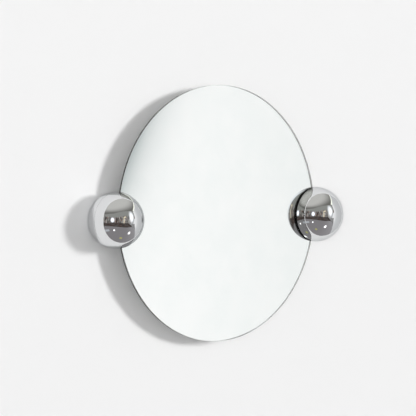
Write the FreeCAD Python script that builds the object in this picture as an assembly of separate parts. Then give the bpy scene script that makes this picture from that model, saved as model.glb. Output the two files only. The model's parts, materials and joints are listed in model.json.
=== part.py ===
import FreeCAD, Part
import math
import os

# Round wall mirror, frameless, gripped at both sides by ball clamps.
# Millimetres. +X is to the right along the wall, +Z is up, and the wall is the plane y = 0.
# The room is on the side of negative y, so "out" below means the distance from the wall: y = -out.
# The origin is on the wall, midway between the two clamp studs.

# ---- driving dimensions ----

# the mirror
MIRROR_DIAMETER = 550.0
GLASS_THICKNESS = 5.0
EDGE_ARRIS = 0.6
COATING_THICKNESS = 0.1
FILM_THICKNESS = 0.2
FILM_INSET = 1.0

# the balls
BALL_DIAMETER = 120.0
SHELL_THICKNESS = 1.5
BALL_STANDOFF = 44.5        # from the wall to the ball's centre
GLASS_SETBACK = 1.5         # the middle of the glass is this much nearer to the wall than that
BALL_DROP = 8.5             # the ball centres are this far below the mirror's centre
SEAM_GAP = 0.2              # hairline between the dome and the rear shell
SEAT_FIT = 0.05             # between a core and the shell around it

# the stud and what is threaded on it
STUD_DIAMETER = 8.0
STUD_LENGTH = 65.0
STUD_START = 1.0
STUD_CHAMFER = 0.75
THREAD_FIT = 0.05
THREAD_PITCH = 1.25
SLEEVE_RADIUS = 7.0
SLEEVE_FIT = 0.05
NUT_ACROSS_FLATS = 13.0
NUT_HEIGHT = 6.5
WASHER_RADIUS = 8.0
WASHER_THICKNESS = 1.6
WASHER_HOLE_RADIUS = 4.2

# the wall plate
PLATE_RADIUS = 36.0
PLATE_THICKNESS = 6.0
SCREW_SPACING = 50.0        # between the two wall screws of one plate, up and down
SCREW_HOLE_RADIUS = 2.75
SCREW_HEAD_RADIUS = 5.5

# the jaws
TUBE_RADIUS = 9.0
TUBE_BORE_RADIUS = 4.6
REAR_CORE_THICKNESS = 12.0
NUT_POCKET_RADIUS = 10.5
NUT_POCKET_DEPTH = 9.0
CORE_BORE_RADIUS = 4.2
GASKET_THICKNESS = 2.0
GASKET_RADIUS = 59.4
GASKET_EDGE_INSET = 1.0     # from the rim of the glass
SLOT_CLEARANCE = 1.6        # from the rim of the glass to the slot's end
PACKER_RADIUS = 57.8
PACKER_PLAY = 0.1
JAW_PLATE_THICKNESS = 2.0
JAW_PLATE_RADIUS = 57.8
JAW_PLATE_HOLE_RADIUS = 4.6
SLIP_RING_INNER_RADIUS = 32.0
SLIP_RING_OUTER_RADIUS = 44.0
SLIP_RING_THICKNESS = 1.0
FRONT_CORE_THICKNESS = 15.0
GROOVE_INNER_RADIUS = 13.5
GROOVE_OUTER_RADIUS = 27.0
GROOVE_DEPTH = 12.5
INSERT_RADIUS = 6.5
INSERT_FLANGE_RADIUS = 9.0
INSERT_FLANGE_THICKNESS = 2.0
INSERT_PRESS_FIT = 0.02

# the guide pins
PIN_RADIUS = 2.0
PIN_OFFSET = 12.0           # outwards from the stud, away from the glass
PIN_SPREAD = 32.0           # between the two pins, up and down
PIN_EMBED = 6.0
PIN_PRESS_FIT = 0.02
PIN_SLIDE_FIT = 0.08
PIN_END_CLEARANCE = 1.0     # to the bottom of the groove in the front core

# the travel of the dome as it is unscrewed
TURNS_TO_OPEN = 8

# how far a cut runs past the solid that it is taken from
OVERRUN = 1.0

# ---- worked out from them ----

MIRROR_RADIUS = MIRROR_DIAMETER / 2
BALL_RADIUS = BALL_DIAMETER / 2
SHELL_INNER_RADIUS = BALL_RADIUS - SHELL_THICKNESS
STUD_RADIUS = STUD_DIAMETER / 2
SLOT_RADIUS = MIRROR_RADIUS + SLOT_CLEARANCE
PIN_HOLE_RADIUS = PIN_RADIUS + PIN_PRESS_FIT
TRAVEL = TURNS_TO_OPEN * THREAD_PITCH

# The glass stands on both sleeves, so the studs lie one sleeve radius outside its rim.
REACH = MIRROR_RADIUS + SLEEVE_RADIUS + SLEEVE_FIT
HALF_SPAN = math.sqrt(REACH ** 2 - BALL_DROP ** 2)

# the stack of layers, as distances from the wall
GLASS_MIDDLE = BALL_STANDOFF - GLASS_SETBACK
GLASS_BACK = GLASS_MIDDLE - GLASS_THICKNESS / 2
GLASS_FRONT = GLASS_MIDDLE + GLASS_THICKNESS / 2
COATING_BACK = GLASS_BACK - COATING_THICKNESS
FILM_BACK = COATING_BACK - FILM_THICKNESS
REAR_JAW = FILM_BACK - GASKET_THICKNESS
REAR_CORE_BACK = REAR_JAW - REAR_CORE_THICKNESS
POCKET_FLOOR = REAR_JAW - NUT_POCKET_DEPTH
NUT_BACK = POCKET_FLOOR + WASHER_THICKNESS
NUT_FRONT = NUT_BACK + NUT_HEIGHT
JAW_PLATE_BACK = GLASS_FRONT + GASKET_THICKNESS
JAW_PLATE_FRONT = JAW_PLATE_BACK + JAW_PLATE_THICKNESS
REAR_SHELL_RIM = JAW_PLATE_BACK - SEAM_GAP / 2
DOME_RIM = JAW_PLATE_BACK + SEAM_GAP / 2
PACKER_FRONT = REAR_SHELL_RIM - PACKER_PLAY
FRONT_CORE_BACK = JAW_PLATE_FRONT + SLIP_RING_THICKNESS
FRONT_CORE_FRONT = FRONT_CORE_BACK + FRONT_CORE_THICKNESS
INSERT_FRONT = FRONT_CORE_FRONT + INSERT_FLANGE_THICKNESS
PIN_END = FRONT_CORE_BACK + GROOVE_DEPTH - PIN_END_CLEARANCE


# ---- helpers ----

def disc(x, z, radius, near, far):
    """A round bar along y at (x, z), between two distances from the wall."""
    foot = FreeCAD.Vector(x, -near, z)
    return Part.makeCylinder(radius, far - near, foot, FreeCAD.Vector(0, -1, 0))


def drill(x, z, radius, near, far):
    """A round cut along y that runs past both of its ends."""
    return disc(x, z, radius, near - OVERRUN, far + OVERRUN)


def ring(x, z, outer, inner, near, far):
    """A flat ring or a tube along y."""
    return disc(x, z, outer, near, far).cut(drill(x, z, inner, near, far))


def ball(x, radius):
    """A solid sphere at a clamp's centre, with its poles towards the wall and the room."""
    return Part.makeSphere(radius, FreeCAD.Vector(x, -BALL_STANDOFF, 0), FreeCAD.Vector(0, -1, 0))


def mirror_disc(radius, near, far):
    """A disc on the mirror's own axis."""
    return disc(0, BALL_DROP, radius, near, far)


def stud_x(side):
    """Where a clamp's stud is: side is -1 at the left and +1 at the right."""
    return side * HALF_SPAN


def pin_places(side):
    """The two guide pins of a clamp, above and below the stud on its outer side."""
    x = stud_x(side) + side * PIN_OFFSET
    return [(x, -PIN_SPREAD / 2), (x, PIN_SPREAD / 2)]


def save(shape, name):
    """Write one piece, and say what it is."""
    solids = len(shape.Solids)
    if not shape.isValid() or solids == 0:
        raise ValueError(name + " is not a sound solid")
    shape.exportStep("parts/" + name + ".step")
    print("%-24s %d solid(s) %10.1f mm3" % (name, solids, shape.Volume))


# ---- the mirror ----

def mirror_glass():
    """Float glass with both edges of the rim ground to a narrow arris."""
    glass = mirror_disc(MIRROR_RADIUS, GLASS_BACK, GLASS_FRONT)
    rims = [edge for edge in glass.Edges if len(edge.Vertexes) == 1]
    return glass.makeChamfer(EDGE_ARRIS, rims)


def silver_coating():
    """The silver, which stops where the arris begins."""
    return mirror_disc(MIRROR_RADIUS - EDGE_ARRIS, COATING_BACK, GLASS_BACK)


def backing_film():
    """The safety film, cut a little smaller than the glass."""
    return mirror_disc(MIRROR_RADIUS - FILM_INSET, FILM_BACK, COATING_BACK)


# ---- one clamp, from the wall outwards ----

def wall_plate(side):
    """A steel disc with a tapped centre and two countersunk holes."""
    x = stud_x(side)
    plate = ring(x, 0, PLATE_RADIUS, STUD_RADIUS + THREAD_FIT, 0, PLATE_THICKNESS)
    sink_depth = SCREW_HEAD_RADIUS - SCREW_HOLE_RADIUS
    for z in (-SCREW_SPACING / 2, SCREW_SPACING / 2):
        hole = drill(x, z, SCREW_HOLE_RADIUS, 0, PLATE_THICKNESS)
        sink = Part.makeCone(
            SCREW_HOLE_RADIUS, SCREW_HEAD_RADIUS, sink_depth,
            FreeCAD.Vector(x, -(PLATE_THICKNESS - sink_depth), z), FreeCAD.Vector(0, -1, 0))
        plate = plate.cut(hole.fuse(sink))
    return plate


def clamp_stud(side):
    """The threaded rod, with a chamfer at both ends. Its thread is left plain."""
    rod = disc(stud_x(side), 0, STUD_RADIUS, STUD_START, STUD_START + STUD_LENGTH)
    ends = [edge for edge in rod.Edges if len(edge.Vertexes) == 1]
    return rod.makeChamfer(STUD_CHAMFER, ends)


def spacer_tube(side):
    """The tube between the wall plate and the rear core."""
    return ring(stud_x(side), 0, TUBE_RADIUS, TUBE_BORE_RADIUS, PLATE_THICKNESS, REAR_CORE_BACK)


def rear_shell(side):
    """The half ball behind the glass, flat at the wall, with a slot for the glass."""
    x = stud_x(side)
    shell = ball(x, BALL_RADIUS).cut(ball(x, SHELL_INNER_RADIUS))
    shell = shell.common(disc(x, 0, BALL_RADIUS + OVERRUN, 0, REAR_SHELL_RIM))
    slot = mirror_disc(SLOT_RADIUS, REAR_JAW, REAR_SHELL_RIM + OVERRUN)
    return shell.cut(slot)


def rear_core(side):
    """The fixed jaw: a disc turned to the inside of the shell, with a pocket for the nut."""
    x = stud_x(side)
    core = ball(x, SHELL_INNER_RADIUS - SEAT_FIT)
    core = core.common(disc(x, 0, BALL_RADIUS, REAR_CORE_BACK, REAR_JAW))
    core = core.cut(drill(x, 0, CORE_BORE_RADIUS, REAR_CORE_BACK, REAR_JAW))
    core = core.cut(disc(x, 0, NUT_POCKET_RADIUS, POCKET_FLOOR, REAR_JAW + OVERRUN))
    for px, pz in pin_places(side):
        core = core.cut(disc(px, pz, PIN_HOLE_RADIUS, REAR_JAW - PIN_EMBED, REAR_JAW + OVERRUN))
    return core


def core_washer(side):
    """The plain washer under the nut."""
    return ring(stud_x(side), 0, WASHER_RADIUS, WASHER_HOLE_RADIUS, POCKET_FLOOR, NUT_BACK)


def core_nut(side):
    """A hexagon nut with its corners turned off at both faces."""
    x = stud_x(side)
    corner = NUT_ACROSS_FLATS / math.sqrt(3)
    points = []
    for i in range(7):
        angle = math.radians(60 * i + 30)
        points.append(FreeCAD.Vector(x + corner * math.cos(angle), -NUT_BACK, corner * math.sin(angle)))
    hexagon = Part.Face(Part.makePolygon(points)).extrude(FreeCAD.Vector(0, -NUT_HEIGHT, 0))
    turned = disc(x, 0, corner, NUT_BACK, NUT_FRONT)
    ends = [edge for edge in turned.Edges if len(edge.Vertexes) == 1]
    turned = turned.makeChamfer(corner - NUT_ACROSS_FLATS / 2, ends)
    bore = drill(x, 0, STUD_RADIUS + THREAD_FIT, NUT_BACK, NUT_FRONT)
    return hexagon.common(turned).cut(bore)


def rest_sleeve(side):
    """The sleeve that the rim of the glass stands on."""
    return ring(stud_x(side), 0, SLEEVE_RADIUS, STUD_RADIUS + SLEEVE_FIT, NUT_FRONT, PACKER_FRONT)


def gasket(side, near):
    """Rubber the shape of the overlap between a ball and the glass."""
    pad = disc(stud_x(side), 0, GASKET_RADIUS, near, near + GASKET_THICKNESS)
    return pad.common(mirror_disc(MIRROR_RADIUS - GASKET_EDGE_INSET, near, near + GASKET_THICKNESS))


def edge_packer(side):
    """The crescent that fills the slot beside the glass, with a notch round the sleeve."""
    x = stud_x(side)
    packer = disc(x, 0, PACKER_RADIUS, REAR_JAW, PACKER_FRONT)
    packer = packer.cut(mirror_disc(SLOT_RADIUS, REAR_JAW - OVERRUN, PACKER_FRONT + OVERRUN))
    packer = packer.cut(drill(x, 0, SLEEVE_RADIUS + SLEEVE_FIT, REAR_JAW, PACKER_FRONT))
    for px, pz in pin_places(side):
        packer = packer.cut(drill(px, pz, PIN_HOLE_RADIUS, REAR_JAW, PACKER_FRONT))
    return packer


def guide_pins(side):
    """Two dowel pins, pressed into the rear core."""
    pins = [disc(px, pz, PIN_RADIUS, REAR_JAW - PIN_EMBED, PIN_END) for px, pz in pin_places(side)]
    return Part.makeCompound(pins)


def pressure_plate(side):
    """The moving jaw, which slides on the pins and carries the front gasket."""
    x = stud_x(side)
    plate = ring(x, 0, JAW_PLATE_RADIUS, JAW_PLATE_HOLE_RADIUS, JAW_PLATE_BACK, JAW_PLATE_FRONT)
    for px, pz in pin_places(side):
        plate = plate.cut(drill(px, pz, PIN_RADIUS + PIN_SLIDE_FIT, JAW_PLATE_BACK, JAW_PLATE_FRONT))
    return plate


def slip_ring(side):
    """The nylon ring that the dome turns on."""
    return ring(stud_x(side), 0, SLIP_RING_OUTER_RADIUS, SLIP_RING_INNER_RADIUS,
                JAW_PLATE_FRONT, FRONT_CORE_BACK)


def front_core(side):
    """The disc inside the dome, grooved so that it can turn round the ends of the pins."""
    x = stud_x(side)
    core = ball(x, SHELL_INNER_RADIUS - SEAT_FIT)
    core = core.common(disc(x, 0, BALL_RADIUS, FRONT_CORE_BACK, FRONT_CORE_FRONT))
    core = core.cut(ring(x, 0, GROOVE_OUTER_RADIUS, GROOVE_INNER_RADIUS,
                         FRONT_CORE_BACK - OVERRUN, FRONT_CORE_BACK + GROOVE_DEPTH))
    return core.cut(drill(x, 0, INSERT_RADIUS + INSERT_PRESS_FIT, FRONT_CORE_BACK, FRONT_CORE_FRONT))


def thread_insert(side):
    """The brass bush that screws onto the stud, with a flange in front of the core."""
    x = stud_x(side)
    bush = disc(x, 0, INSERT_RADIUS, FRONT_CORE_BACK, FRONT_CORE_FRONT)
    bush = bush.fuse(disc(x, 0, INSERT_FLANGE_RADIUS, FRONT_CORE_FRONT, INSERT_FRONT))
    return bush.cut(drill(x, 0, STUD_RADIUS + THREAD_FIT, FRONT_CORE_BACK, INSERT_FRONT))


def front_shell(side):
    """The dome that faces the room."""
    x = stud_x(side)
    shell = ball(x, BALL_RADIUS).cut(ball(x, SHELL_INNER_RADIUS))
    return shell.common(disc(x, 0, BALL_RADIUS + OVERRUN, DOME_RIM, BALL_STANDOFF + BALL_RADIUS + OVERRUN))


# ---- build ----

os.makedirs("parts", exist_ok=True)

save(mirror_glass(), "mirror_glass")
save(silver_coating(), "silver_coating")
save(backing_film(), "backing_film")

for side, prefix in ((-1, "left_"), (1, "right_")):
    save(wall_plate(side), prefix + "wall_plate")
    save(clamp_stud(side), prefix + "clamp_stud")
    save(spacer_tube(side), prefix + "spacer_tube")
    save(rear_shell(side), prefix + "rear_shell")
    save(rear_core(side), prefix + "rear_core")
    save(core_washer(side), prefix + "core_washer")
    save(core_nut(side), prefix + "core_nut")
    save(rest_sleeve(side), prefix + "rest_sleeve")
    save(gasket(side, REAR_JAW), prefix + "rear_gasket")
    save(edge_packer(side), prefix + "edge_packer")
    save(guide_pins(side), prefix + "guide_pins")
    save(gasket(side, GLASS_FRONT), prefix + "front_gasket")
    save(pressure_plate(side), prefix + "pressure_plate")
    save(slip_ring(side), prefix + "slip_ring")
    save(front_core(side), prefix + "front_core")
    save(thread_insert(side), prefix + "thread_insert")
    save(front_shell(side), prefix + "front_shell")

print("stud to stud %.2f mm, dome travel %.1f mm in %d turns" % (2 * HALF_SPAN, TRAVEL, TURNS_TO_OPEN))
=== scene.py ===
# %% [markdown]
# # A round wall mirror held by two polished balls
# The mirror is a plain disc of silvered float glass with no frame. Two hollow chromed balls grip its edge,
# one at each side. Each ball is a clamp: the half by the wall is fixed, and the half that faces the room
# is a dome that unscrews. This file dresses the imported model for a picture. It goes from the frame, to the
# finishes, to the pieces that need a finer mesh, and then to the room, the lights and the camera.

# %% [markdown]
# ## The fixed frame
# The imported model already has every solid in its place, in metres: +X runs to the right along the wall,
# +Z is up, and the wall is the plane y = 0, with the room on the side of negative y. Nothing of it is
# moved here. A finish goes onto a solid, or a finer mesh of the same shape stands in for it.

# %% load the frame
import json
import math

import bmesh
import bpy
from mathutils import Matrix, Vector


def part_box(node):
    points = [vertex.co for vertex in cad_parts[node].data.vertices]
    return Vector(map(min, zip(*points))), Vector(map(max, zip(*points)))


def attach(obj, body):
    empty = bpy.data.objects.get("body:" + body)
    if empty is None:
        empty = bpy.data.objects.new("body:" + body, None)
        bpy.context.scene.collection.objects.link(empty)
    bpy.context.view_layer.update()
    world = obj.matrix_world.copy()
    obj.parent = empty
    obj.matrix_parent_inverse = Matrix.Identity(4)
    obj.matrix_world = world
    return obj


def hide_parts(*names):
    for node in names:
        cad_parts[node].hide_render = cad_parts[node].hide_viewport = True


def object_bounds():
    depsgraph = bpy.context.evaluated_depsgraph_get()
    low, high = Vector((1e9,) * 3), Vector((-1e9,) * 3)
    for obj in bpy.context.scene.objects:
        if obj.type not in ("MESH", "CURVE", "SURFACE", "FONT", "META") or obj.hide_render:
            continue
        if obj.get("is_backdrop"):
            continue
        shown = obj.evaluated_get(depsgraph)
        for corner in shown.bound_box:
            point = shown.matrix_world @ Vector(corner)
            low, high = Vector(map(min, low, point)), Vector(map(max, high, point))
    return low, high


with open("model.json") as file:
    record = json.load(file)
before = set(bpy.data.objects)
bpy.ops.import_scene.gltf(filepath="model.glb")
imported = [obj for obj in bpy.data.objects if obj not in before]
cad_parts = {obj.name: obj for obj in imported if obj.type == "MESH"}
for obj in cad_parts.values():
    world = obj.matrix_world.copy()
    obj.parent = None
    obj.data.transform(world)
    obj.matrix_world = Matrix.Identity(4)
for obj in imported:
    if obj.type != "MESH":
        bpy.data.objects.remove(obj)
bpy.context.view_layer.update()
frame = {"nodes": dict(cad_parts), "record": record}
nodes = frame["nodes"]
scene = bpy.context.scene
MM = 0.001

# %% [markdown]
# ## Sizes read from the frame
# A finer mesh has to lie exactly where its solid does, so its sizes are read from the solids' own boxes.
# `out` is a distance from the wall, so a point that is `out` from it has y = -out.

# %% measure the solids
SIDES = ("left", "right")


def reach(node):
    """How far out from the wall a solid begins and ends."""
    low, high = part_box(node)
    return -high.y, -low.y


glass_low, glass_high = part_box("mirror_glass")
MIRROR_RADIUS = (glass_high.x - glass_low.x) / 2
MIRROR_HEIGHT = (glass_high.z + glass_low.z) / 2
GLASS_BACK, GLASS_FRONT = reach("mirror_glass")
dome_low, dome_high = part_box("left_front_shell")
BALL_RADIUS = (dome_high.x - dome_low.x) / 2
DOME_RIM, DOME_TOP = reach("left_front_shell")
REAR_RIM = reach("left_rear_shell")[1]
JAW = reach("left_rear_gasket")[0]
BALL_OUT = DOME_TOP - BALL_RADIUS
print("mirror radius", round(MIRROR_RADIUS, 5), "centre height", round(MIRROR_HEIGHT, 5))
print("ball radius", round(BALL_RADIUS, 5), "centre", round(BALL_OUT, 5), "from the wall")

# %% where the two studs are
STUD_X = {}
for side in SIDES:
    low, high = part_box(side + "_clamp_stud")
    STUD_X[side] = (low.x + high.x) / 2
STUD_RADIUS = (high.x - low.x) / 2
STUD_START, STUD_END = reach("left_clamp_stud")
print("studs at", {side: round(x, 5) for side, x in STUD_X.items()})

# %% [markdown]
# ## Colour and node helpers
# Colours are written the way a screen shows them, as hex, while the renderer works in linear light. One
# function turns one into the other, and one function adds a node with its settings and links.

# %% helpers for materials


def linear(code):
    """An sRGB hex colour as linear red, green, blue and alpha."""
    channels = []
    for start in (1, 3, 5):
        c = int(code[start:start + 2], 16) / 255
        channels.append(c / 12.92 if c <= 0.04045 else ((c + 0.055) / 1.055) ** 2.4)
    return (*channels, 1.0)


def add(tree, kind, inputs=None, links=None, **settings):
    """Add a node: settings are its own properties, inputs its socket values, links come from other nodes."""
    made = tree.nodes.new(kind)
    for name, value in settings.items():
        setattr(made, name, value)
    for name, value in (inputs or {}).items():
        made.inputs[name].default_value = value
    for name, source in (links or {}).items():
        tree.links.new(source, made.inputs[name])
    return made


def new_material(name):
    """An empty node material and its tree."""
    material = bpy.data.materials.new(name)
    material.use_nodes = True
    material.node_tree.nodes.clear()
    return material, material.node_tree


def show(tree, shader, volume=None):
    """Join a shader to the material's output."""
    links = {"Surface": shader.outputs[0]}
    if volume is not None:
        links["Volume"] = volume.outputs[0]
    add(tree, "ShaderNodeOutputMaterial", links=links)


def two_tones(tree, factor, low, high, start=0.35, end=0.65):
    """A ramp between two hex colours."""
    ramp = add(tree, "ShaderNodeValToRGB", links={"Fac": factor})
    ramp.color_ramp.elements[0].position = start
    ramp.color_ramp.elements[0].color = linear(low)
    ramp.color_ramp.elements[1].position = end
    ramp.color_ramp.elements[1].color = linear(high)
    return ramp.outputs["Color"]


def spread(tree, factor, low, high):
    """A 0 to 1 pattern turned into a range of numbers, such as roughness."""
    mapped = add(tree, "ShaderNodeMapRange", {"To Min": low, "To Max": high}, {"Value": factor})
    return mapped.outputs["Result"]


# %% [markdown]
# ## Turned finishes
# Lathe work leaves rings round the axis of the turning. The rings here need the distance from the stud's
# axis, so the solid's own coordinates are shifted to that axis first. A real feed mark is 0.1 to 0.2 mm
# wide, too fine to show, so the rings are drawn 0.8 mm apart. Noise with a stated lump size gives the rest.

# %% patterns: rings and noise


def object_point(tree):
    """The solid's own coordinates, which are the frame's coordinates in metres."""
    return add(tree, "ShaderNodeTexCoord").outputs["Object"]


def ring_pattern(tree, axis_x, spacing):
    """0 to 1 rings round the line (axis_x, any y, 0)."""
    moved = add(tree, "ShaderNodeVectorMath", {1: (1, 0, 1), 2: (-axis_x, 0, 0)},
                {0: object_point(tree)}, operation="MULTIPLY_ADD")
    far = add(tree, "ShaderNodeVectorMath", operation="LENGTH", links={0: moved.outputs[0]})
    turn = add(tree, "ShaderNodeMath", {1: 2 * math.pi / spacing}, {0: far.outputs["Value"]},
               operation="MULTIPLY")
    wave = add(tree, "ShaderNodeMath", links={0: turn.outputs[0]}, operation="SINE")
    return spread(tree, wave.outputs[0], 0.0, 1.0)


def noise(tree, size, detail=3.0, stretch=(1, 1, 1)):
    """A 0 to 1 noise whose lumps are about `size` metres wide."""
    scaled = add(tree, "ShaderNodeMapping", {"Scale": stretch}, {"Vector": object_point(tree)})
    made = add(tree, "ShaderNodeTexNoise", {"Scale": 1 / size, "Detail": detail},
               {"Vector": scaled.outputs[0]})
    return made.outputs["Fac"]


# %% [markdown]
# ## Polished chrome
# Chromium plated over a polished shell. It is a hard bluish-white mirror that gives back about three quarters
# of the light. Up close there is only a trace of haze from polishing, so the roughness stays near zero and
# drifts a little over a few centimetres.

# %% polished chrome


def polished_chrome():
    material, tree = new_material("polished_chrome_plate")
    haze = noise(tree, 25 * MM)
    shader = add(tree, "ShaderNodeBsdfPrincipled",
                 {"Base Color": linear("#E2E3E4"), "Metallic": 1.0,
                  "Specular Tint": linear("#DADBDC")},
                 {"Roughness": spread(tree, haze, 0.008, 0.022)})
    show(tree, shader)
    return material


# %% [markdown]
# ## Float glass and its silver
# Clear float glass is faintly green because of the iron in it. Seen through 5 mm it is nearly colourless, and
# seen edge on, where light has gone through centimetres of it, it turns dark teal. A volume that absorbs red
# first gives both, with no paint on the edge. The silver behind it is a separate metal layer.

# %% float glass, silver


def float_glass():
    material, tree = new_material("clear_float_glass")
    shader = add(tree, "ShaderNodeBsdfPrincipled",
                 {"Base Color": linear("#FFFFFF"), "Roughness": 0.0, "IOR": 1.52,
                  "Transmission Weight": 1.0})
    green = add(tree, "ShaderNodeVolumeAbsorption", {"Color": linear("#83B09A"), "Density": 8.0})
    show(tree, shader, green)
    return material


def silvering():
    material, tree = new_material("wet_silvered_coating")
    tone = two_tones(tree, noise(tree, 60 * MM), "#F9FAF9", "#FCFCFB")
    shader = add(tree, "ShaderNodeBsdfPrincipled", {"Metallic": 1.0, "Roughness": 0.0},
                 {"Base Color": tone})
    show(tree, shader)
    return material


# %% [markdown]
# ## Safety film
# The back of a wall mirror is covered with a stuck-on plastic film with a woven scrim in it, so that broken
# glass stays in place. The threads are 2 mm apart. Two crossed waves give the raised threads.

# %% safety film


def safety_film():
    material, tree = new_material("woven_scrim_safety_film")
    spacing = 2 * MM
    split = add(tree, "ShaderNodeSeparateXYZ", links={"Vector": object_point(tree)})
    waves = []
    for axis in ("X", "Z"):
        turn = add(tree, "ShaderNodeMath", {1: 2 * math.pi / spacing}, {0: split.outputs[axis]},
                   operation="MULTIPLY")
        wave = add(tree, "ShaderNodeMath", links={0: turn.outputs[0]}, operation="SINE")
        waves.append(wave.outputs[0])
    weave = add(tree, "ShaderNodeMath", links={0: waves[0], 1: waves[1]}, operation="MAXIMUM")
    threads = spread(tree, weave.outputs[0], 0.0, 1.0)
    bump = add(tree, "ShaderNodeBump", {"Strength": 0.5, "Distance": 0.15 * MM}, {"Height": threads})
    mottle = two_tones(tree, noise(tree, 40 * MM), "#D5D6D4", "#DCDDDB")
    thread_tone = add(tree, "ShaderNodeMix", {7: linear("#E6E7E5")}, {0: threads, 6: mottle},
                      data_type="RGBA")
    shader = add(tree, "ShaderNodeBsdfPrincipled", {"Roughness": 0.55},
                 {"Base Color": thread_tone.outputs[2], "Normal": bump.outputs[0]})
    show(tree, shader)
    return material


# %% [markdown]
# ## Steel, aluminium and brass
# These four are the same kind of finish with different colours: a metal with fine marks from the tool that
# made it. One function builds them, and each call says what the real metal is. Their rings run round a stud,
# so each clamp has its own set.

# %% machined metals
RING_SPACING = 0.8 * MM


def machined_metal(name, axis_x, dark, light, rough_low, rough_high, ring_depth):
    material, tree = new_material(name)
    rings = ring_pattern(tree, axis_x, RING_SPACING)
    patches = noise(tree, 9 * MM)
    bump = add(tree, "ShaderNodeBump", {"Strength": 0.4, "Distance": ring_depth}, {"Height": rings})
    shader = add(tree, "ShaderNodeBsdfPrincipled", {"Metallic": 1.0},
                 {"Base Color": two_tones(tree, patches, dark, light),
                  "Roughness": spread(tree, patches, rough_low, rough_high),
                  "Normal": bump.outputs[0]})
    show(tree, shader)
    return material


def metals_of(side):
    """The machined metals of one clamp, with their rings round its own stud."""
    x = STUD_X[side]
    return {
        # aluminium turned on a lathe: pale, with the clearest rings
        "turned_aluminium": machined_metal(
            side + "_turned_aluminium", x, "#CFD1D3", "#DEDFE0", 0.28, 0.38, 0.02 * MM),
        # steel with bright zinc plate: bluish, with cloudy patches and hardly any rings
        "zinc_plated_steel": machined_metal(
            side + "_bright_zinc_plated_steel", x, "#B4B9C0", "#CDD0D2", 0.25, 0.42, 0.006 * MM),
        # ground steel: darker and smoother
        "bright_steel": machined_metal(
            side + "_ground_bright_steel", x, "#AEB0B2", "#BCBEC0", 0.18, 0.28, 0.008 * MM),
        # turned brass
        "insert_brass": machined_metal(
            side + "_turned_brass", x, "#D6B15E", "#E5C77C", 0.22, 0.32, 0.015 * MM),
    }


# %% [markdown]
# ## Rubber and nylon
# The gaskets are cut from black sheet rubber, matt and a little dusty. The sleeves and slip rings are turned
# from white nylon, which lets a little light in, so it has a soft glow at its edges.

# %% rubber and nylon


def black_rubber():
    material, tree = new_material("black_sheet_rubber")
    grain = noise(tree, 0.6 * MM, detail=6.0)
    bump = add(tree, "ShaderNodeBump", {"Strength": 0.3, "Distance": 0.05 * MM}, {"Height": grain})
    shader = add(tree, "ShaderNodeBsdfPrincipled", {"IOR": 1.52},
                 {"Base Color": two_tones(tree, grain, "#0B0B0C", "#151516"),
                  "Roughness": spread(tree, grain, 0.6, 0.8), "Normal": bump.outputs[0]})
    show(tree, shader)
    return material


def white_nylon():
    material, tree = new_material("turned_white_nylon")
    grain = noise(tree, 3 * MM)
    shader = add(tree, "ShaderNodeBsdfPrincipled",
                 {"IOR": 1.53, "Subsurface Weight": 0.15, "Subsurface Scale": 1.5 * MM,
                  "Subsurface Radius": (1.0, 0.9, 0.8)},
                 {"Base Color": two_tones(tree, grain, "#E2E1D9", "#ECEBE4"),
                  "Roughness": spread(tree, grain, 0.38, 0.5)})
    show(tree, shader)
    return material


# %% [markdown]
# ## Finishes onto the solids
# The record names a finish for every solid. Each solid takes the node material for that finish, and the
# machined metals come in a left and a right set.

# %% assign the finishes
shared = {
    "polished_chrome": polished_chrome(), "float_glass": float_glass(), "silvering": silvering(),
    "white_safety_film": safety_film(), "black_rubber": black_rubber(), "white_nylon": white_nylon(),
}
metals = {side: metals_of(side) for side in SIDES}
slot_of = {row["node"]: row["material_slot"] for row in frame["record"]["subparts"]}


def finish_for(node):
    """The node material that a solid takes."""
    name = slot_of[node]
    return shared[name] if name in shared else metals[node.split("_")[0]][name]


for name, piece in nodes.items():
    for slot in piece.material_slots:
        slot.material = finish_for(name)
print("finishes on", len(nodes), "solids")

# %% [markdown]
# ## A helper for new meshes
# A new piece is made from a list of points and faces. Edges sharper than 30 degrees stay crisp, and the
# rest is shaded smooth, as a polished surface is.

# %% build, place and replace
CRISP_ANGLE = math.radians(30)


def new_piece(name, points, faces, node, body):
    """A mesh that stands for one solid of the frame and moves with that solid's body."""
    mesh = bpy.data.meshes.new(name)
    mesh.from_pydata(points, [], faces)
    work = bmesh.new()
    work.from_mesh(mesh)
    bmesh.ops.recalc_face_normals(work, faces=work.faces)
    for face in work.faces:
        face.smooth = True
    loose = [edge for edge in work.edges if len(edge.link_faces) != 2]
    work.to_mesh(mesh)
    work.free()
    mesh.set_sharp_from_angle(angle=CRISP_ANGLE)
    mesh.materials.append(finish_for(node))
    piece = bpy.data.objects.new(name, mesh)
    scene.collection.objects.link(piece)
    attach(piece, body)
    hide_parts(node)
    print(name, len(points), "points", len(faces), "faces", len(loose), "open edges")
    return piece


# %% [markdown]
# ## The mirror's glass
# A disc of plate glass could be a plain cylinder, but the real edge is ground: two narrow bevels with a
# polished flat between them, and those bevels carry the bright and dark lines along the rim. So the outline
# is turned round the mirror's axis from its profile. The glass goes a hair's breadth into the silver, so that
# light inside it meets the silver first, and stays a hair's breadth short of the rubber.

# %% turn the glass
GLASS_SEGMENTS = 256
ARRIS = 0.4 * MM
HAIR = 0.03 * MM


def turned(profile, centre_x, centre_z, segments):
    """Points and faces of a profile of (radius, out) pairs, turned all the way round, capped at both ends."""
    points, faces = [], []
    for radius, out in profile:
        for i in range(segments):
            angle = 2 * math.pi * i / segments
            points.append((centre_x + radius * math.cos(angle), -out, centre_z + radius * math.sin(angle)))
    for ring in range(len(profile) - 1):
        for i in range(segments):
            j = (i + 1) % segments
            a, b = ring * segments, (ring + 1) * segments
            faces.append((a + i, a + j, b + j, b + i))
    faces.append(tuple(range(segments)))
    faces.append(tuple(reversed(range(len(points) - segments, len(points)))))
    return points, faces


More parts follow.
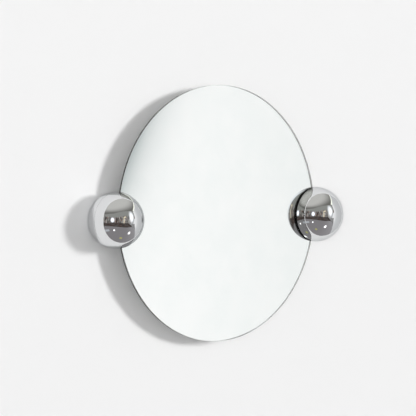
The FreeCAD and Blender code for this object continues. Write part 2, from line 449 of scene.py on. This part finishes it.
glass_profile = [
    (MIRROR_RADIUS - ARRIS, GLASS_BACK - HAIR),
    (MIRROR_RADIUS, GLASS_BACK + ARRIS),
    (MIRROR_RADIUS, GLASS_FRONT - ARRIS),
    (MIRROR_RADIUS - ARRIS, GLASS_FRONT - HAIR),
]
glass = new_piece("mirror_glass_disc", *turned(glass_profile, 0, MIRROR_HEIGHT, GLASS_SEGMENTS),
                  node="mirror_glass", body="wall_side")

# %% [markdown]
# ## The domes
# The front half of a ball is a spun shell 1.5 mm thick. A mirror finish shows every flaw of a mesh, so the
# dome is turned from its profile with fine steps instead of being cut from a rough sphere. Its rim has a
# small bevel, as a polished edge does.

# %% turn the domes
BALL_SEGMENTS = 192
ARC_STEPS = 56
WALL_THICKNESS = 1.5 * MM
RIM_BEVEL = 0.15 * MM
TIP_ROUNDING = (0.02 * MM) * (0.02 * MM)  # keeps the last ring just off the tip


def arc(radius, out_start, out_end, steps):
    """(radius, out) pairs along a circle about the ball's centre, between two distances from the wall."""
    start = math.asin(max(-1.0, min(1.0, (out_start - BALL_OUT) / radius)))
    end = math.asin(max(-1.0, min(1.0, (out_end - BALL_OUT) / radius)))
    angles = [start + (end - start) * i / steps for i in range(steps + 1)]
    return [(radius * math.cos(a), BALL_OUT + radius * math.sin(a)) for a in angles]


def dome_profile():
    """The dome's section, without its tips: the outside, the inside, and the rim's outer and inner edge."""
    inner_radius = BALL_RADIUS - WALL_THICKNESS
    outer = arc(BALL_RADIUS, DOME_RIM + RIM_BEVEL, DOME_TOP - TIP_ROUNDING, ARC_STEPS)
    inner = arc(inner_radius, DOME_RIM + RIM_BEVEL, BALL_OUT + inner_radius, ARC_STEPS)
    rim_outer = (outer[0][0] - RIM_BEVEL, DOME_RIM)
    rim_inner = (inner[0][0] + RIM_BEVEL, DOME_RIM)
    return outer[:-1], inner[:-1], rim_outer, rim_inner


def dome_mesh(x):
    """Points and faces of the dome: rings for the whole section, and one point at each of the two tips."""
    outer, inner, rim_outer, rim_inner = dome_profile()
    section = list(reversed(outer)) + [rim_outer, rim_inner] + inner
    points, faces = turned(section, x, 0, BALL_SEGMENTS)
    faces = faces[:-2]
    tips = [(x, -DOME_TOP, 0), (x, -(DOME_TOP - WALL_THICKNESS), 0)]
    for tip, first in zip(tips, (0, len(points) - BALL_SEGMENTS)):
        for i in range(BALL_SEGMENTS):
            faces.append((first + i, first + (i + 1) % BALL_SEGMENTS, len(points) + tips.index(tip)))
    return points + tips, faces


for side in SIDES:
    new_piece(side + "_chrome_dome", *dome_mesh(STUD_X[side]),
              node=side + "_front_shell", body=side + "_dome")

# %% [markdown]
# ## The rear half balls
# The fixed half is the same spun shell, cut flat at the wall, with a slot milled for the glass. A cut with
# the Boolean modifier would leave slivers that show in a mirror finish. Here every ring of the mesh is
# divided at the slot's two ends instead, so the slot's walls fall on mesh lines.

# %% shape the rear shells
SLOT_CLEARANCE = 1.6 * MM
SLOT_RADIUS = MIRROR_RADIUS + SLOT_CLEARANCE
SLOT_STEPS = 72
KEPT_STEPS = 120
BAND_STEPS = 8
BACK_STEPS = 40


def slot_half_angle(radius, axis_distance):
    """Half the angle, seen from the stud, of the part of a circle that lies within the slot."""
    cosine = (axis_distance ** 2 + radius ** 2 - SLOT_RADIUS ** 2) / (2 * axis_distance * radius)
    return math.acos(cosine)


def ring_angles(middle, half):
    """The angles of one ring: evenly through the slot, then evenly through what is kept."""
    slot = [middle - half + 2 * half * i / SLOT_STEPS for i in range(SLOT_STEPS)]
    kept_width = 2 * math.pi - 2 * half
    kept = [middle + half + kept_width * i / KEPT_STEPS for i in range(KEPT_STEPS)]
    return slot + kept


def rear_shell_mesh(x):
    """Points and faces of a rear shell: an outer and an inner skin, joined at the wall, slot and rim."""
    to_axis = Vector((-x, MIRROR_HEIGHT))
    middle, axis_distance = math.atan2(to_axis.y, to_axis.x), to_axis.length
    ring_size = SLOT_STEPS + KEPT_STEPS
    points, faces, skins = [], [], []
    for radius in (BALL_RADIUS, BALL_RADIUS - WALL_THICKNESS):
        skin = []
        rows = arc(radius, 0, JAW, BACK_STEPS) + arc(radius, JAW, REAR_RIM, BAND_STEPS)[1:]
        for number, (ring_radius, out) in enumerate(rows):
            half = slot_half_angle(rows[max(number, BACK_STEPS)][0], axis_distance)
            skin.append(len(points))
            for angle in ring_angles(middle, half):
                points.append((x + ring_radius * math.cos(angle), -out, ring_radius * math.sin(angle)))
        skins.append(skin)
    outer, inner = skins
    last = len(outer) - 1

    def quad(a, b, i):
        j = (i + 1) % ring_size
        faces.append((a + i, a + j, b + j, b + i))

    for i in range(ring_size):
        quad(outer[0], inner[0], i)                      # flat at the wall
        for row in range(BACK_STEPS):
            quad(outer[row], outer[row + 1], i)
            quad(inner[row], inner[row + 1], i)
        if i < SLOT_STEPS:
            quad(outer[BACK_STEPS], inner[BACK_STEPS], i)    # the slot's floor
            continue
        quad(outer[last], inner[last], i)                # the rim
        for row in range(BACK_STEPS, last):
            quad(outer[row], outer[row + 1], i)
            quad(inner[row], inner[row + 1], i)
    for i in (SLOT_STEPS, 0):                            # the slot's two ends
        for row in range(BACK_STEPS, last):
            faces.append((outer[row] + i, outer[row + 1] + i, inner[row + 1] + i, inner[row] + i))
    return points, faces


for side in SIDES:
    points, faces = rear_shell_mesh(STUD_X[side])
    used = sorted({i for face in faces for i in face})
    renumber = {old: new for new, old in enumerate(used)}
    points = [points[i] for i in used]
    faces = [tuple(renumber[i] for i in face) for face in faces]
    new_piece(side + "_chrome_rear_shell", points, faces,
              node=side + "_rear_shell", body="wall_side")

# %% [markdown]
# ## The threaded studs
# When a dome is unscrewed, a stretch of the stud shows beside the glass, and its thread is what tells the eye
# that it is a bolt. A thread could be a bump, but its outline would stay smooth. Here the rod's radius rises
# and falls once for each pitch along it, shifted with the angle, which makes a real helix.

# %% cut the threads
PITCH = 1.25 * MM
THREAD_DEPTH = 0.61 * PITCH
THREAD_SEGMENTS = 36
ROWS_PER_PITCH = 8
END_CHAMFER = 0.75 * MM
FLANK_GAIN, FLANK_OFFSET = 1.25, 0.125  # leave crest and root flat for a tenth of the pitch each


def thread_radius(out, angle):
    """The stud's radius at a place along and round it: a 60 degree thread, tapered at both ends."""
    phase = ((out / PITCH) + angle / (2 * math.pi)) % 1.0
    height = 1 - min(1.0, max(0.0, abs(phase - 0.5) * 2 * FLANK_GAIN - FLANK_OFFSET))
    to_end = min(out - STUD_START, STUD_END - out)
    taper = max(0.0, 1 - to_end / END_CHAMFER)
    return STUD_RADIUS - max(THREAD_DEPTH * (1 - height), END_CHAMFER * taper)


def stud_mesh(x):
    """Points and faces of a threaded stud, in rows along it."""
    rows = int(round((STUD_END - STUD_START) / PITCH * ROWS_PER_PITCH))
    points, faces = [], []
    for row in range(rows + 1):
        out = STUD_START + (STUD_END - STUD_START) * row / rows
        for i in range(THREAD_SEGMENTS):
            angle = 2 * math.pi * i / THREAD_SEGMENTS
            radius = thread_radius(out, angle)
            points.append((x + radius * math.cos(angle), -out, radius * math.sin(angle)))
    for row in range(rows):
        a, b = row * THREAD_SEGMENTS, (row + 1) * THREAD_SEGMENTS
        for i in range(THREAD_SEGMENTS):
            j = (i + 1) % THREAD_SEGMENTS
            faces.append((a + i, a + j, b + j, b + i))
    faces.append(tuple(range(THREAD_SEGMENTS)))
    faces.append(tuple(reversed(range(len(points) - THREAD_SEGMENTS, len(points)))))
    return points, faces


for side in SIDES:
    new_piece(side + "_threaded_stud", *stud_mesh(STUD_X[side]),
              node=side + "_clamp_stud", body="wall_side")

# %% [markdown]
# ## The wall and the floor
# The mirror hangs on a plain pale wall, and the wall takes its shadows. Seen from behind, the wall would hide
# everything, so a look that has come through it from the back doesn't see it any more: Transparent Depth
# counts that. The floor is a plain pale sheet well below.

# %% the stage
WALL_GAP = 0.5 * MM
WALL_HALF_WIDTH = 6.0
WALL_TOP = 3.0
FLOOR_HEIGHT = -1.45
FLOOR_HALF_WIDTH = 18.0
PAINT = "#F3F3F3"
FLOOR_PAINT = "#C4C4C4"
FLOOR_LIFT = 0.6


def sheet_of(name, corners, material):
    """A flat four-sided stage piece. Its front is the side from which the corners run anticlockwise."""
    mesh = bpy.data.meshes.new(name)
    mesh.from_pydata(corners, [], [(0, 1, 2, 3)])
    across = mesh.uv_layers.new(name="across")
    for corner, place in zip(across.data, ((0, 0), (1, 0), (1, 1), (0, 1))):
        corner.uv = place
    mesh.materials.append(material)
    piece = bpy.data.objects.new(name, mesh)
    scene.collection.objects.link(piece)
    piece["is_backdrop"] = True
    return piece


def wall_paint():
    material, tree = new_material("matt_wall_paint")
    paint = add(tree, "ShaderNodeBsdfPrincipled",
                {"Base Color": linear(PAINT), "Roughness": 1.0, "Specular IOR Level": 0.0})
    clear = add(tree, "ShaderNodeBsdfTransparent")
    path = add(tree, "ShaderNodeLightPath")
    behind = add(tree, "ShaderNodeNewGeometry")
    seen_behind = add(tree, "ShaderNodeMath", operation="MULTIPLY",
                      links={0: path.outputs["Is Camera Ray"], 1: behind.outputs["Backfacing"]})
    came_through = add(tree, "ShaderNodeMath", {1: 0.5}, {0: path.outputs["Transparent Depth"]},
                       operation="GREATER_THAN")
    either = add(tree, "ShaderNodeMath", operation="MAXIMUM",
                 links={0: seen_behind.outputs[0], 1: came_through.outputs[0]})
    show(tree, add(tree, "ShaderNodeMixShader",
                   links={0: either.outputs[0], 1: paint.outputs[0], 2: clear.outputs[0]}))
    return material


def floor_finish():
    material, tree = new_material("pale_floor_paint")
    paint = add(tree, "ShaderNodeBsdfPrincipled",
                {"Base Color": linear(FLOOR_PAINT), "Roughness": 0.9, "Specular IOR Level": 0.1})
    path = add(tree, "ShaderNodeLightPath")
    lift = add(tree, "ShaderNodeMath", {1: FLOOR_LIFT}, {0: path.outputs["Is Camera Ray"]},
               operation="MULTIPLY")
    glow_up = add(tree, "ShaderNodeEmission", {"Color": linear(PAINT)}, {"Strength": lift.outputs[0]})
    show(tree, add(tree, "ShaderNodeAddShader", links={0: paint.outputs[0], 1: glow_up.outputs[0]}))
    return material


W, F = WALL_HALF_WIDTH, FLOOR_HALF_WIDTH
wall = sheet_of("wall", [(-W, WALL_GAP, FLOOR_HEIGHT), (W, WALL_GAP, FLOOR_HEIGHT),
                         (W, WALL_GAP, WALL_TOP), (-W, WALL_GAP, WALL_TOP)], wall_paint())
floor = sheet_of("floor", [(-F, -F, FLOOR_HEIGHT), (F, -F, FLOOR_HEIGHT),
                           (F, F, FLOOR_HEIGHT), (-F, F, FLOOR_HEIGHT)], floor_finish())
print("wall", 2 * W, "m wide, floor", FLOOR_HEIGHT, "m")

# %% [markdown]
# ## What the chrome sees
# A polished ball has no colour of its own: its look is the room around it. A picture of a room would be the
# quick way. These are plain glowing boards instead, seen only by reflections, so that they neither light the
# wall nor hide anything. The small ones are given by their direction from the mirror and their distance, as
# azimuth (0 is straight out from the wall, + is to the right) and elevation in degrees. The big ones are
# given by their outlines in metres. Light on its way to a matt surface passes through all of them.

# %% boards round the room


def toward(azimuth, elevation, distance):
    a, e = math.radians(azimuth), math.radians(elevation)
    return Vector((math.sin(a) * math.cos(e), -math.cos(a) * math.cos(e), math.sin(e))) * distance


def lit_by_a_matt_surface(tree):
    """1 for light on its way to a matt surface, and 0 for what the camera sees in polished ones."""
    path = add(tree, "ShaderNodeLightPath")
    return add(tree, "ShaderNodeMath", {1: 0.5}, {0: path.outputs["Diffuse Depth"]},
               operation="GREATER_THAN").outputs[0]


def finish_board(material, tree, light):
    """Show the light to polished surfaces and nothing to matt ones."""
    clear = add(tree, "ShaderNodeBsdfTransparent")
    show(tree, add(tree, "ShaderNodeMixShader",
                   links={0: lit_by_a_matt_surface(tree), 1: light.outputs[0], 2: clear.outputs[0]}))
    return material


def glow(name, colour, strength=1.0, far_colour=None, axis="Y", start=0.0, end=1.0, around=None):
    """A glowing board, plain or shading into another colour along an axis or away from a point."""
    material, tree = new_material(name)
    light = add(tree, "ShaderNodeEmission", {"Color": linear(colour), "Strength": strength})
    if far_colour:
        here = object_point(tree)
        if around:
            place = add(tree, "ShaderNodeVectorMath", {1: around}, {0: here},
                        operation="DISTANCE").outputs["Value"]
        else:
            place = add(tree, "ShaderNodeSeparateXYZ", links={"Vector": here}).outputs[axis]
        along = add(tree, "ShaderNodeMapRange", {"From Min": start, "From Max": end}, {"Value": place},
                    interpolation_type="SMOOTHSTEP").outputs["Result"]
        tree.links.new(two_tones(tree, along, colour, far_colour, 0.0, 1.0), light.inputs["Color"])
    return finish_board(material, tree, light)


def soft_spot(name, colour, strength, core=0.5):
    """A round glow, full within `core` of its half width and gone at the edge, like a light out of focus."""
    material, tree = new_material(name)
    middle = add(tree, "ShaderNodeVectorMath", {1: (2, 2, 0), 2: (-1, -1, 0)},
                 {0: add(tree, "ShaderNodeTexCoord").outputs["UV"]}, operation="MULTIPLY_ADD")
    far = add(tree, "ShaderNodeVectorMath", links={0: middle.outputs[0]}, operation="LENGTH")
    fade = add(tree, "ShaderNodeMapRange", {"From Min": 1.0, "From Max": core},
               {"Value": far.outputs["Value"]}, interpolation_type="SMOOTHSTEP")
    shown = add(tree, "ShaderNodeMath", operation="SUBTRACT", use_clamp=True,
                links={0: fade.outputs["Result"], 1: lit_by_a_matt_surface(tree)})
    light = add(tree, "ShaderNodeEmission", {"Color": linear(colour), "Strength": strength})
    clear = add(tree, "ShaderNodeBsdfTransparent")
    show(tree, add(tree, "ShaderNodeMixShader",
                   links={0: shown.outputs[0], 1: clear.outputs[0], 2: light.outputs[0]}))
    return material


def seen_in_reflections(piece):
    piece.visible_camera = False
    piece.visible_diffuse = False
    piece.visible_shadow = False
    piece.visible_volume_scatter = False
    return piece


def facing_board(name, azimuth, elevation, distance, width, height, material):
    """A board that faces the mirror; width and height are in degrees, as seen from there."""
    middle = toward(azimuth, elevation, distance)
    side_step = toward(azimuth + 90, 0, 1) * distance * math.tan(math.radians(width / 2))
    up_step = toward(azimuth, elevation + 90, 1) * distance * math.tan(math.radians(height / 2))
    corners = [middle - side_step - up_step, middle + side_step - up_step,
               middle + side_step + up_step, middle - side_step + up_step]
    return seen_in_reflections(sheet_of(name, corners, material))


def level_board(name, outline, height, material):
    """A flat board at one height, from its outline in x and y."""
    mesh = bpy.data.meshes.new(name)
    mesh.from_pydata([(x, y, height) for x, y in outline], [], [tuple(range(len(outline)))])
    mesh.materials.append(material)
    piece = bpy.data.objects.new(name, mesh)
    scene.collection.objects.link(piece)
    piece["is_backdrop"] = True
    return seen_in_reflections(piece)


# %% the ceiling and the ground
CEILING, GROUND = 1.6, -1.42
DIM_GROUND = GROUND - 0.01

ceiling_outline = [(-4.2, 0), (-3.9, -0.5), (-2.4, -1.95), (-1.0, -2.2), (0.45, -2.25),
                   (1.7, -2.25), (1.7, 0)]
# painted shade on the ceiling's glow: pale near one point, darker away from it
level_board("ceiling", ceiling_outline, CEILING,
            glow("grey_ceiling", "#D0CFCB", far_colour="#797874", start=1.2, end=2.75,
                 around=(-0.5, 0.3, CEILING)))
carpet_outline = [(-4.3, 0), (-4.2, -0.6), (-3.3, -2.1), (-1.7, -2.95), (1.3, -3.2), (1.9, -3.1), (1.9, 0)]
level_board("carpet", carpet_outline, GROUND,
            glow("grey_carpet", "#8D8A8C", far_colour="#A2A0A2", axis="X", start=-0.2, end=1.8))
marker_outline = [(-0.32, -0.68), (-0.08, -0.68), (-0.08, -0.5), (-0.32, -0.5)]
level_board("floor_mark", marker_outline, GROUND + 0.01, glow("dull_yellow", "#C2BF78"))
print("ceiling at", CEILING, "m and ground at", GROUND, "m from the clamps' level")

# %% the walls of the room


FAR_OUT, FAR_LOW, FAR_HIGH = 12, -8, 9
FAR_LEFT, FAR_RIGHT, FAR_AHEAD = -10, 9, 9.5
PLAIN_FROM, PLAIN_TO = 2.2, 3.8


def crowded(name, dark, pale):
    """A far side of the room: upright shapes out of focus, in greys with a little red, plain higher up."""
    material, tree = new_material(name)
    upright = noise(tree, 0.9, detail=4.0, stretch=(1.0, 1.0, 0.35))
    tone = two_tones(tree, upright, dark, pale, 0.38, 0.62)
    hue = two_tones(tree, noise(tree, 1.5, detail=1.0), "#FFFFFF", "#EFCFC6", 0.52, 0.62)
    stained = add(tree, "ShaderNodeMix", {0: 1.0}, {6: tone, 7: hue},
                  data_type="RGBA", blend_type="MULTIPLY")
    height = add(tree, "ShaderNodeSeparateXYZ", links={"Vector": object_point(tree)}).outputs["Z"]
    bare = add(tree, "ShaderNodeMapRange", {"From Min": PLAIN_FROM, "From Max": PLAIN_TO},
               {"Value": height}, interpolation_type="SMOOTHSTEP").outputs["Result"]
    whole = add(tree, "ShaderNodeMix", {7: linear("#9A9B97")}, {0: bare, 6: stained.outputs[2]},
                data_type="RGBA")
    return finish_board(material, tree, add(tree, "ShaderNodeEmission", links={"Color": whole.outputs[2]}))


far_side = crowded("room_shelves", "#44403F", "#B2B0AC")
wall_feet = {
    "far_wall": [(-FAR_OUT, -FAR_AHEAD), (FAR_RIGHT, -FAR_AHEAD)],
    "left_wall": [(FAR_LEFT, 0), (FAR_LEFT, -FAR_OUT)],
    "right_wall": [(FAR_RIGHT, 0), (FAR_RIGHT, -FAR_OUT)],
}
for name, ((x0, y0), (x1, y1)) in wall_feet.items():
    seen_in_reflections(sheet_of(name, [
        (x0, y0, FAR_LOW), (x1, y1, FAR_LOW), (x1, y1, FAR_HIGH), (x0, y0, FAR_HIGH)], far_side))
level_board("dim_ground", [(-FAR_OUT, 0), (-FAR_OUT, -FAR_OUT), (1.9, -FAR_OUT), (1.9, 0)], DIM_GROUND,
            crowded("dim_ground", "#46413F", "#625D5B"))
print("walls", list(wall_feet))

# %% the white board at the right, bent where it leaves the wall
BOARD_FOOT = [(1.55, 0), (1.75, -1.1), (3.58, -3.93)]
BOARD_SPAN = [(GROUND, 1.38), (GROUND, 1.42), (-2.4, 2.7)]
# painted shade on the board's glow: white far from the wall, greyer close to it
board_white = glow("white_side_board", "#FFFFFF", 1.04, far_colour="#D2D3D4", start=-3.0, end=-0.5)
for part in (0, 1):
    (x0, y0), (x1, y1) = BOARD_FOOT[part], BOARD_FOOT[part + 1]
    (bottom0, top0), (bottom1, top1) = BOARD_SPAN[part], BOARD_SPAN[part + 1]
    seen_in_reflections(sheet_of("side_board_%d" % part, [
        (x1, y1, bottom1), (x0, y0, bottom0), (x0, y0, top0), (x1, y1, top1)], board_white))

# a strip of light between the ceiling and the top of the board
near_x, far_x, strip_end, strip_height = 2.12, 2.9, -2.6, 2.1
seen_in_reflections(sheet_of("strip_light", [
    (near_x, 0, strip_height), (far_x, 0, strip_height),
    (far_x, strip_end, strip_height), (near_x, strip_end, strip_height)],
    glow("strip_light", "#F6F8EA", 1.5)))
print("side board from", BOARD_FOOT[0], "to", BOARD_FOOT[-1])

# %% the small bright things
warm = glow("warm_lamp", "#F6EBCF", 1.3)
bright_things = [  # name, azimuth, elevation, distance, width, height, material
    ("softbox", 25, 11.5, 4.0, 30, 52, soft_spot("softbox_front", "#F8FBFF", 1.8, 0.15)),
    ("window", -53, 3.5, 9.0, 19, 24, soft_spot("daylight_window", "#F2F6FF", 1.9, 0.35)),
    ("pale_case", -80, -33, 2.4, 16, 8, glow("pale_grey_case", "#BFC3C8")),
    ("lamp_upright", -7, 2, 9.0, 3, 22, warm),
    ("lamp_arm", -3, 14, 9.0, 10, 3, warm),
    ("floor_light_left", -51.5, -33.5, 2.2, 7, 8, soft_spot("floor_light", "#FFFFFF", 2.4)),
    ("floor_light_right", 22.3, -45.5, 1.9, 10, 18, soft_spot("floor_light_2", "#FFFFFF", 2.4)),
]
for thing in bright_things:
    facing_board(*thing)
print("bright things", [thing[0] for thing in bright_things])

# %% [markdown]
# ## What the mirror sees
# Seen from this camera the whole mirror shows one patch of the room, ahead and to the right. There it is a
# glowing white board with painted shade: a little brighter at its lower left, fading to grey past its upper
# left corner and a little darker to the right. The board is drawn in its own flat coordinates, in metres.

# %% the board in the mirror
BOUNCE_AZIMUTH, BOUNCE_ELEVATION, BOUNCE_DISTANCE = 40.2, -2.6, 4.0
BOUNCE_HALF = 0.56
INWARD = (0.935, -0.354, 0)
CORNER_EDGE, CORNER_FADE = -0.355, 0.0464
SHADE_START, SHADE_END = -0.252, 0.564
BOUNCE_STRENGTH = 1.05


def bounce_board():
    """Glow with painted shade: grey within a few centimetres of a slanting edge, and a little to the right.
    """
    material, tree = new_material("white_bounce_board")
    here = object_point(tree)

    inward = add(tree, "ShaderNodeVectorMath", {1: INWARD}, {0: here}, operation="DOT_PRODUCT")
    from_edge = add(tree, "ShaderNodeMath", {1: CORNER_EDGE}, {0: inward.outputs["Value"]},
                    operation="SUBTRACT", use_clamp=True)
    falling = add(tree, "ShaderNodeMath", {1: -1 / CORNER_FADE}, {0: from_edge.outputs[0]},
                  operation="MULTIPLY")
    corner = add(tree, "ShaderNodeMath", links={0: falling.outputs[0]}, operation="EXPONENT").outputs[0]
    # painted shade: the board's glow dims to grey past the slanting edge
    dim = two_tones(tree, corner, "#FEFEFF", "#BCC2C3", 0.0, 1.0)
    split = add(tree, "ShaderNodeSeparateXYZ", links={"Vector": here})
    rightwards = add(tree, "ShaderNodeMapRange", {"From Min": SHADE_START, "From Max": SHADE_END},
                     {"Value": split.outputs["X"]}, interpolation_type="SMOOTHSTEP").outputs["Result"]
    # painted shade: the glow is a little darker to the right
    shade = two_tones(tree, rightwards, "#FFFFFF", "#F3F4F4", 0.0, 1.0)
    tone = add(tree, "ShaderNodeMix", {0: 1.0}, {6: dim, 7: shade},
               data_type="RGBA", blend_type="MULTIPLY")
    light = add(tree, "ShaderNodeEmission", {"Strength": BOUNCE_STRENGTH}, {"Color": tone.outputs[2]})
    return finish_board(material, tree, light)


bounce_middle = toward(BOUNCE_AZIMUTH, BOUNCE_ELEVATION, BOUNCE_DISTANCE)
bounce = sheet_of("bounce_board", [(-BOUNCE_HALF, -BOUNCE_HALF, 0), (BOUNCE_HALF, -BOUNCE_HALF, 0),
                                   (BOUNCE_HALF, BOUNCE_HALF, 0), (-BOUNCE_HALF, BOUNCE_HALF, 0)],
                  bounce_board())
bounce_x = toward(BOUNCE_AZIMUTH + 90, 0, 1)
bounce_away = bounce_middle.normalized()
bounce_up = bounce_away.cross(bounce_x)
bounce.matrix_world = Matrix.Translation(bounce_middle) @ Matrix(
    (bounce_x, bounce_up, bounce_away)).transposed().to_4x4()
seen_in_reflections(bounce)

# %% [markdown]
# ## Light
# One large soft light from the right and slightly above throws the shadow to the left. A far light with a
# wide angle gives that soft edge and keeps the wall even. A weaker one from the left lifts the shadow, and a
# third lights the back of the mirror. The sky fills in the rest, most of it from near the horizon. Light from
# the left also comes back to the wall off the polished rear shells, which lightens the shadow beside them.
# Looked at directly or in a reflection, the sky is the same pale tone as the wall.

# %% lamps and sky
KEY_AZIMUTH, KEY_ELEVATION = 33.9, 10.3
FILL_AZIMUTH, FILL_ELEVATION = -42, 3
BACK_AZIMUTH, BACK_ELEVATION = 205, 38
KEY_WIDTH, FILL_WIDTH, BACK_WIDTH = 12, 16, 25
KEY_SHARE, FILL_SHARE, BACK_SHARE = 0.425, 0.11, 0.3
SKY_LEVEL, SKY_CORE, SKY_EDGE, SKY_POLE = 0.90, 0.1, 0.75, 0.22
THROWN_BACK = 2.0
THROWN_START, THROWN_FULL = -0.1, -0.4


def far_lamp(name, azimuth, elevation, width, on_facing_wall):
    """A distant light. `on_facing_wall` is the share of plain light that it gives to a surface facing it."""
    lamp = bpy.data.lights.new(name, "SUN")
    lamp.energy = math.pi * on_facing_wall
    lamp.angle = math.radians(width)
    piece = bpy.data.objects.new(name, lamp)
    piece.rotation_mode = "QUATERNION"
    piece.rotation_quaternion = toward(azimuth, elevation, 1).to_track_quat("Z", "Y")
    piece.visible_glossy = False
    scene.collection.objects.link(piece)
    return piece


wall_cosine = math.cos(math.radians(KEY_AZIMUTH)) * math.cos(math.radians(KEY_ELEVATION))
far_lamp("key_light", KEY_AZIMUTH, KEY_ELEVATION, KEY_WIDTH, KEY_SHARE / wall_cosine)
fill_cosine = math.cos(math.radians(FILL_AZIMUTH)) * math.cos(math.radians(FILL_ELEVATION))
far_lamp("fill_light", FILL_AZIMUTH, FILL_ELEVATION, FILL_WIDTH, FILL_SHARE / fill_cosine)
far_lamp("back_light", BACK_AZIMUTH, BACK_ELEVATION, BACK_WIDTH, BACK_SHARE)

# %% the sky
world = bpy.data.worlds.new("studio")
world.use_nodes = True
world.node_tree.nodes.clear()
sky = world.node_tree
direction = add(sky, "ShaderNodeSeparateXYZ",
                links={"Vector": add(sky, "ShaderNodeTexCoord").outputs["Generated"]}).outputs
from_level = add(sky, "ShaderNodeMath", links={0: direction["Z"]}, operation="ABSOLUTE").outputs[0]
band = add(sky, "ShaderNodeMapRange",
           {"From Min": SKY_CORE, "From Max": SKY_EDGE, "To Min": 1.0, "To Max": SKY_POLE},
           {"Value": from_level}, interpolation_type="SMOOTHSTEP").outputs["Result"]
level = add(sky, "ShaderNodeMath", {1: SKY_LEVEL}, {0: band}, operation="MULTIPLY").outputs[0]
path = add(sky, "ShaderNodeLightPath")
off_chrome = add(sky, "ShaderNodeMath", operation="MULTIPLY",
                 links={0: path.outputs["Is Glossy Ray"], 1: lit_by_a_matt_surface(sky)}).outputs[0]
to_left = add(sky, "ShaderNodeMapRange",
              {"From Min": THROWN_START, "From Max": THROWN_FULL, "To Min": 0.0, "To Max": THROWN_BACK},
              {"Value": direction["X"]}).outputs["Result"]
thrown = add(sky, "ShaderNodeMath", links={0: off_chrome, 1: to_left}, operation="MULTIPLY").outputs[0]
all_fill = add(sky, "ShaderNodeMath", links={0: level, 1: thrown}, operation="ADD").outputs[0]
fill = add(sky, "ShaderNodeBackground", {"Color": (1, 1, 1, 1)}, {"Strength": all_fill})
backdrop = add(sky, "ShaderNodeBackground", {"Color": linear(PAINT), "Strength": 1.0})
mirrored = add(sky, "ShaderNodeMath", operation="MAXIMUM",
               links={0: path.outputs["Is Glossy Ray"], 1: path.outputs["Is Transmission Ray"]})
direct = add(sky, "ShaderNodeMath", operation="MAXIMUM",
             links={0: path.outputs["Is Camera Ray"], 1: mirrored.outputs[0]})
seen = add(sky, "ShaderNodeMath", operation="SUBTRACT", use_clamp=True,
           links={0: direct.outputs[0], 1: lit_by_a_matt_surface(sky)})
mixed = add(sky, "ShaderNodeMixShader",
            links={0: seen.outputs[0], 1: fill.outputs[0], 2: backdrop.outputs[0]})
add(sky, "ShaderNodeOutputWorld", links={"Surface": mixed.outputs[0]})
scene.world = world
print("key", KEY_SHARE, "fill", FILL_SHARE, "back", BACK_SHARE, "sky", SKY_LEVEL)

# %% [markdown]
# ## The camera
# The viewpoint is in front and to the left, a little above, and far away with a long lens, so the mirror is a
# clean ellipse. Its place was found by fitting the rim and both balls.

# %% camera
VIEWPOINT = (-4.86257986, -5.75909592, 0.31391945)
VIEW_AXES = Matrix((
    (0.76364730, 0.02156580, -0.64527336),
    (-0.64561508, 0.03308380, -0.76294602),
    (0.00489455, 0.99921989, 0.03918756)))
LENS = 302.885
camera_data = bpy.data.cameras.new("camera")
camera_data.lens = LENS
camera_data.sensor_width = 36.0
camera_data.clip_end = 200.0
camera = bpy.data.objects.new("camera", camera_data)
camera.matrix_world = Matrix.Translation(VIEWPOINT) @ VIEW_AXES.to_4x4()
scene.collection.objects.link(camera)
scene.camera = camera
print("camera", round((Vector(VIEWPOINT)).length, 2), "m away, lens", LENS, "mm")

# The colours are written as they should appear, so no film look is laid over them.
scene.view_settings.view_transform = "Standard"

# %% [markdown]
# The box of the dressed object, without the stage, is printed. The dressed object has to stay
# within the box of the solids.

# %% boxes and finish
low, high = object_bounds()
print("visual box", [round(v, 4) for v in (*low, *high)])
